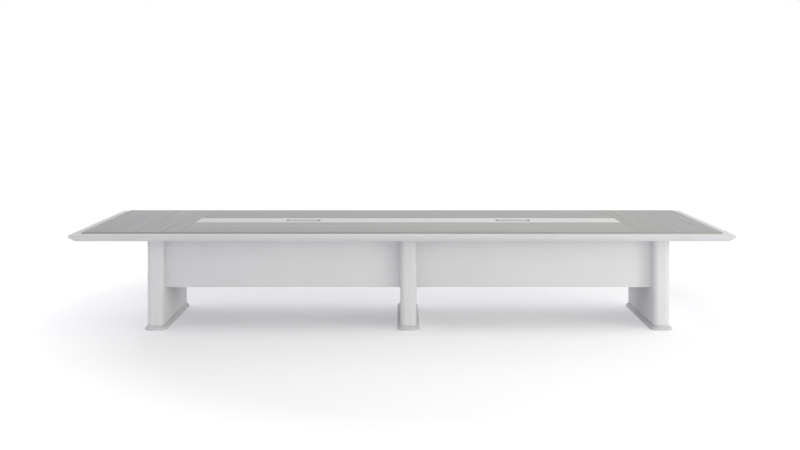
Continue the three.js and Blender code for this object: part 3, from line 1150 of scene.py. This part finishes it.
@dataclass
class SlabLegs:
    """Three slab legs with rounded ends, each on a flared plinth with levelling feet."""

    board_finish: Material
    plinth_finish: Material
    foot_finish: Material
    round: float = 40 * MM
    seam: float = 0.4 * MM
    flare: float = 21.6 * MM
    plinth_edge: float = 12 * MM
    plinth_rim: float = 3 * MM
    groove: float = 3 * MM
    pad_height: float = 10 * MM
    pad_round: float = 2.5 * MM
    stem_radius: float = 5 * MM
    pocket_gap: float = 1 * MM
    stem_gap: float = 0.3 * MM

    def build(self) -> None:
        """Models the left leg and copies it to the other two places."""
        board = self.board("leg_left_side_left")
        post = self.post("leg_left_post_front")
        foot = self.foot("foot_left_front")
        plinth = self.plinth("plinth_left")
        for place in Place:
            leg = f"leg_{place.value}"
            for side in Side:
                fit(twin(board, f"{leg}_side_{side.value}"), "leg_laminate", self.board_finish)
            for end in End:
                leg_end = twin(post, f"{leg}_post_{end.value}", end.turn)
                fit(leg_end, "leg_laminate", self.board_finish)
                fit(twin(foot, f"foot_{place.value}_{end.value}"), "foot_plastic", self.foot_finish)
            fit(twin(plinth, f"plinth_{place.value}"), "plinth_laminate", self.plinth_finish)

    def board(self, node: str) -> Workpiece:
        """Models a side board."""
        board = Workpiece.block(named(node), *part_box(node))
        return board.edges(along(Z)).bevel(self.seam)

    def post(self, node: str) -> Workpiece:
        """Models a front post, rounded on its outer corners.

        Args:
            node: The node that it stands for.

        Returns:
            The post.
        """
        low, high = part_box(node)
        post = Workpiece.block(named(node), low, high)
        post.edges(lambda middle, way: abs(way.z) > ALONG and near(middle.y, low.y))
        post.bevel(self.round, segments=14)
        post.edges(lambda middle, way: abs(way.z) > ALONG and near(middle.y, high.y))
        return post.bevel(self.seam)

    def plinth(self, node: str) -> Workpiece:
        """Models a plinth: an upright edge, a slope in to the leg's outline and a shadow groove.

        Args:
            node: The node that it stands for.

        Returns:
            The plinth, with a pocket for each foot.
        """
        low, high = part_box(node)
        plinth = Workpiece.block(named(node), low, (high.x, high.y, low.z + self.plinth_edge))
        plinth.edges(along(Z)).bevel(self.round + self.flare, segments=18)
        plinth.faces(upward).inset(self.flare)
        plinth.move((0, 0, high.z - self.groove - low.z - self.plinth_edge))
        plinth.inset(self.groove).extrude((0, 0, self.groove))
        plinth.edges(at_height(low.z + self.plinth_edge)).bevel(self.plinth_rim, segments=4)
        for end in End:
            plinth.shape(Join.CUT, *self.pocket(node.replace("plinth", "foot") + f"_{end.value}"))
        return plinth

    def pocket(self, foot: str) -> tuple[Workpiece, Workpiece]:
        """The shapes that cut room for a foot.

        Args:
            foot: The foot's node.

        Returns:
            The room for the pad and the room for the stem.
        """
        low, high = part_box(foot)
        x, y, _ = middle_of(foot)
        past = low.z - self.pocket_gap
        pad_top = low.z + self.pad_height + self.pocket_gap
        pad_radius = (high.x - low.x) / 2 + self.pocket_gap
        stem_radius = self.stem_radius + self.stem_gap
        pad = Workpiece.rod("pad_room", pad_radius, (x, y, past), (x, y, pad_top))
        stem_top = high.z + self.pocket_gap
        stem = Workpiece.rod("stem_room", stem_radius, (x, y, past), (x, y, stem_top))
        return pad, stem

    def foot(self, node: str) -> Workpiece:
        """Models a levelling foot: a rounded pad and its stem.

        Args:
            node: The node that it stands for.

        Returns:
            The foot.
        """
        low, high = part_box(node)
        x, y, _ = middle_of(node)
        radius = (high.x - low.x) / 2
        pad_top = low.z + self.pad_height
        foot = Workpiece.rod(named(node), radius, (x, y, low.z), (x, y, pad_top))
        foot.edges(across(Z)).bevel(self.pad_round, segments=4)
        foot.faces(lambda middle, normal: upward(middle, normal) and near(middle.z, pad_top))
        foot.inset(radius - self.pad_round - self.stem_radius)
        return foot.extrude((0, 0, high.z - pad_top))


@dataclass
class Understructure:
    """Modesty panels, steel beams, and the hidden boards that stay as they are."""

    board_finish: Material
    beam_finish: Material
    backing: Material
    chipboard: Material
    arris: float = 0.8 * MM
    tube_round: float = 3 * MM
    tube_wall: float = 2 * MM

    def build(self) -> None:
        """Models one panel and one beam, copies them, and dresses the hidden boards."""
        panel = self.panel("modesty_panel_front_left")
        beam = self.beam("beam_front_left")
        for side in Side:
            for end in End:
                bay = f"{end.value}_{side.value}"
                fit(twin(panel, f"modesty_panel_{bay}"), "modesty_laminate", self.board_finish)
                fit(twin(beam, f"beam_{bay}"), "beam_steel", self.beam_finish)
        for side in Side:
            self.keep(f"core_board_{side.value}", self.backing)
        for place in Place:
            self.keep(f"leg_{place.value}_cleat", self.chipboard)

    def keep(self, node: str, finish: Material) -> None:
        """Dresses a board whose shape in the frame is right already.

        Args:
            node: The board's node.
            finish: Its material.
        """
        board = frame["nodes"][node]
        board.data.materials.clear()
        board.data.materials.append(finish)
        LOG.info("%s stays as it is", node)

    def panel(self, node: str) -> Workpiece:
        """Models a modesty panel."""
        panel = Workpiece.block(named(node), *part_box(node))
        return panel.edges(lambda middle, way: True).bevel(self.arris)

    def beam(self, node: str) -> Workpiece:
        """Models a rounded square tube.

        Args:
            node: The node that it stands for.

        Returns:
            The tube.
        """
        beam = Workpiece.block(named(node), *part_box(node))
        beam.edges(along(X)).bevel(self.tube_round, segments=4)
        beam.faces(along(X)).inset(self.tube_wall)
        return beam.bridge()


@dataclass
class CableBox:
    """A flip-lid cable box: rim, hinged lid, pin, tray and socket module."""

    side: Side
    metal: Material
    steel: Material
    tray_finish: Material
    plastic: Material
    rim_wall: float = 7 * MM
    rim_arris: float = 0.6 * MM
    lid_thickness: float = 5 * MM
    lid_arris: float = 0.5 * MM
    barrel_flat: float = 0.02 * MM
    stop_width: float = 10 * MM
    stop_overlap: float = 6 * MM
    pin_gap: float = 0.3 * MM
    pin_arris: float = 0.5 * MM
    tray_wall: float = 2 * MM
    tray_round: float = 2 * MM
    cable_exit: float = 50 * MM
    exit_margin: float = 8 * MM
    module_round: float = 1.5 * MM
    socket_count: int = 3
    socket_radius: float = 19 * MM
    socket_depth: float = 12 * MM
    hole_radius: float = 2.5 * MM
    hole_spread: float = 9.5 * MM
    clip: Triple = (4 * MM, 1 * MM, 10 * MM)

    # The least part of a normal that points out where a face belongs to the lid's dark edge bands, a
    # painted shadow line
    shade_band_facing: float = 0.5

    def node(self, part: str) -> str:
        """The name of this box's node for a part."""
        return f"{part}_{self.side.value}"

    def build(self) -> None:
        """Models the five parts of the box."""
        self.rim()
        self.lid()
        self.pin()
        self.tray()
        self.module()

    def pin_room(self) -> Workpiece:
        """Models a shape that cuts room for the pin.

        Returns:
            The shape.
        """
        low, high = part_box(self.node("cable_box_pin"))
        _, y, z = middle_of(self.node("cable_box_pin"))
        radius = (high.z - low.z) / 2 + self.pin_gap
        start, end = low.x - self.pin_gap, high.x + self.pin_gap
        return Workpiece.rod("pin_room", radius, (start, y, z), (end, y, z))

    def rim(self) -> None:
        """Models the rim, with two stops under the lid's front corners."""
        node = self.node("cable_box_bezel")
        low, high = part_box(node)
        lid_low, lid_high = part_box(self.node("cable_box_lid"))
        wall = Vector((self.rim_wall, self.rim_wall, -self.rim_wall))
        rim = Workpiece.block(named(node), low, high)
        rim.shape(Join.CUT, Workpiece.block("opening", low + wall, high - wall))
        stop_top = high.z - self.lid_thickness - self.pin_gap
        for side in Side:
            lid_end = lid_low.x if side is Side.LEFT else lid_high.x
            rim_end = low.x if side is Side.LEFT else high.x
            inner = lid_end - side.sign * self.stop_overlap
            outer = rim_end - side.sign * self.rim_wall / 2
            corner = (min(inner, outer), lid_low.y, low.z)
            far_corner = (max(inner, outer), lid_low.y + self.stop_width, stop_top)
            rim.shape(Join.WELD, Workpiece.block("stop", corner, far_corner))
        rim.shape(Join.CUT, self.pin_room())
        rim.edges(at_height(high.z)).bevel(self.rim_arris)
        fit(rim, "satin_aluminium", self.metal)

    def lid(self) -> None:
        """Models the lid: a plate whose edges are dark plastic, a painted shadow line round the lid, and
        whose back edge is a round barrel.
        """
        node = self.node("cable_box_lid")
        low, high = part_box(node)
        under = high.z - self.lid_thickness
        barrel_front = high.y - 2 * self.lid_thickness
        lid = Workpiece.block(named(node), (low.x, low.y, under), high)
        lid.split((0, barrel_front, 0), (0, 1, 0), trim=False)
        lid.faces(lambda middle, normal: normal.z < -ALONG and middle.y > barrel_front)
        lid.extrude((0, 0, low.z - under))
        lid.edges(through((high.y, high.z), (high.y, low.z), (barrel_front, low.z)))
        lid.bevel(self.lid_thickness - self.barrel_flat, segments=8)
        lid.edges(lambda middle, way: near(middle.z, high.z) or near(middle.y, low.y))
        lid.bevel(self.lid_arris)
        lid.shape(Join.CUT, self.pin_room())
        facing = self.shade_band_facing
        # The edge faces take the dark plastic: a painted shadow line round the lid
        lid.arrange(1, lambda middle, normal: abs(normal.x) > facing or normal.y < -facing)
        fit(lid, "satin_aluminium", self.metal, self.plastic)

    def pin(self) -> None:
        """Models the hinge pin."""
        node = self.node("cable_box_pin")
        low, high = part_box(node)
        _, y, z = middle_of(node)
        pin = Workpiece.rod(named(node), (high.z - low.z) / 2, (low.x, y, z), (high.x, y, z), sides=24)
        pin.edges(across(X)).bevel(self.pin_arris)
        fit(pin, "pin_steel", self.steel)

    def tray(self) -> None:
        """Models the tray, with a cable exit in its floor."""
        node = self.node("cable_box_tray")
        low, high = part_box(node)
        tray = Workpiece.block(named(node), low, high)
        tray.edges(along(Z)).bevel(self.tray_round, segments=3)
        tray.faces(upward).inset(self.tray_wall)
        tray.extrude((0, 0, low.z + self.tray_wall - high.z))
        _, y, _ = middle_of(node)
        exit_end = high.x - self.tray_wall - self.exit_margin
        corner = (exit_end - self.cable_exit, y - self.cable_exit / 2, low.z - self.tray_wall)
        far_corner = (exit_end, y + self.cable_exit / 2, low.z + 2 * self.tray_wall)
        tray.shape(Join.CUT, Workpiece.block("cable_exit", corner, far_corner))
        fit(tray, "tray_steel", self.tray_finish)

    def module(self) -> None:
        """Models the socket module, with holes and steel earth clips in its round recesses."""
        node = self.node("socket_module")
        low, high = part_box(node)
        _, y, _ = middle_of(node)
        module = Workpiece.block(named(node), low, high)
        module.edges(lambda middle, way: middle.z > low.z + self.module_round)
        module.bevel(self.module_round, segments=3)
        floor = high.z - self.socket_depth
        pitch = (high.x - low.x) / self.socket_count
        clips = []
        for i in range(self.socket_count):
            x = low.x + (i + 0.5) * pitch
            above = high.z + self.module_round
            recess = Workpiece.rod("recess", self.socket_radius, (x, y, floor), (x, y, above))
            module.shape(Join.CUT, recess)
            for sign in (-1, 1):
                hole_x = x + sign * self.hole_spread
                deep = (hole_x, y, floor - self.socket_depth)
                hole = Workpiece.rod("hole", self.hole_radius, deep, (hole_x, y, above), sides=24)
                module.shape(Join.CUT, hole)
                clips.append(self.earth_clip(x, y, sign, floor))
        fit(module, "socket_plastic", self.plastic)
        self.gather_clips(clips)

    def earth_clip(self, x: float, y: float, sign: int, floor: float) -> Workpiece:
        """Models one spring clip against a recess's wall.

        Args:
            x: Middle of the recess along X.
            y: Middle of the recess along Y.
            sign: -1 for the front clip and 1 for the back one.
            floor: Height of the recess's floor.

        Returns:
            The clip.
        """
        width, thickness, height = self.clip
        wall = y + sign * (self.socket_radius - thickness)
        near_wall = sorted((wall, wall - sign * thickness))
        low = (x - width / 2, near_wall[0], floor)
        high = (x + width / 2, near_wall[1], floor + height)
        clip = Workpiece.block("clip", low, high)
        clip.edges(lambda middle, way: near(middle.z, high[Z]) and abs(way.x) > ALONG)
        return clip.bevel(thickness / 3)

    def gather_clips(self, clips: list[Workpiece]) -> None:
        """Joins the earth clips of a module into one piece.

        Args:
            clips: The clips.
        """
        clear_bench()
        for clip in clips:
            clip.piece.select_set(True)
        bpy.context.view_layer.objects.active = clips[0].piece
        bpy.ops.object.join()
        clips[0].piece.name = self.node("earth_clips")
        piece = clips[0].finished()
        piece.data.materials.append(self.steel)
        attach(piece, BODY_OF[self.node("socket_module")])
        LOG.info("%s rides on %s", piece.name, BODY_OF[self.node("socket_module")])


def main() -> None:
    """Builds the studio and the table."""
    logging.basicConfig(level=logging.INFO, format="%(message)s")
    Studio().build()

    lacquer = SatinLacquer("satin_lacquer", "#dedee1", "#dbdbde").make()
    # On the rails' tops this lighter tone is painted light; on the strip it is the strip's own white
    laminate = SatinLacquer("white_laminate", "#efeff2", "#ececef", roughness=0.75, shine=0.003).make()
    # The nose band's darker tone is painted shade
    painted_shade_band = SatinLacquer("edge_band", "#d1d1d3", "#ceced0").make()
    plinth_finish = SatinLacquer("grey_lacquer", "#d1d1d4", "#ceced1", roughness=0.6).make()
    grain_x = GreyOakVeneer("grey_oak_along_x", Grain.ALONG_X).make()
    grain_y = GreyOakVeneer("grey_oak_along_y", Grain.ALONG_Y).make()
    # Darker veneer tones for the panels' edge faces: painted shade
    painted_shade_edge_tones = "#a3a3ab", "#a7a6a1", "#969595", "#807e7d"
    edge_x = GreyOakVeneer("grey_oak_edge_along_x", Grain.ALONG_X, *painted_shade_edge_tones).make()
    edge_y = GreyOakVeneer("grey_oak_edge_along_y", Grain.ALONG_Y, *painted_shade_edge_tones).make()
    metal = BrushedAluminium("brushed_aluminium").make()
    steel = TurnedSteel("turned_steel").make()
    beam_finish = PowderCoat("grey_powder_coat", "#8d9093", "#85888b").make()
    tray_finish = PowderCoat("dark_powder_coat", "#3a3b3d", "#434446", roughness=0.6).make()
    plastic = MouldedPlastic("moulded_plastic").make()
    backing = SatinLacquer("backing_foil", "#eeeeef", "#ebebec", roughness=0.7).make()
    chipboard = Chipboard("raw_chipboard").make()

    BorderRails(lacquer, laminate, painted_shade_band).build()
    RaisedTop(grain_x, grain_y, edge_x, edge_y, laminate).build()
    SlabLegs(lacquer, plinth_finish, plastic).build()
    Understructure(lacquer, beam_finish, backing, chipboard).build()
    for side in Side:
        CableBox(side, metal, steel, tray_finish, plastic).build()


if __name__ == "__main__":
    main()
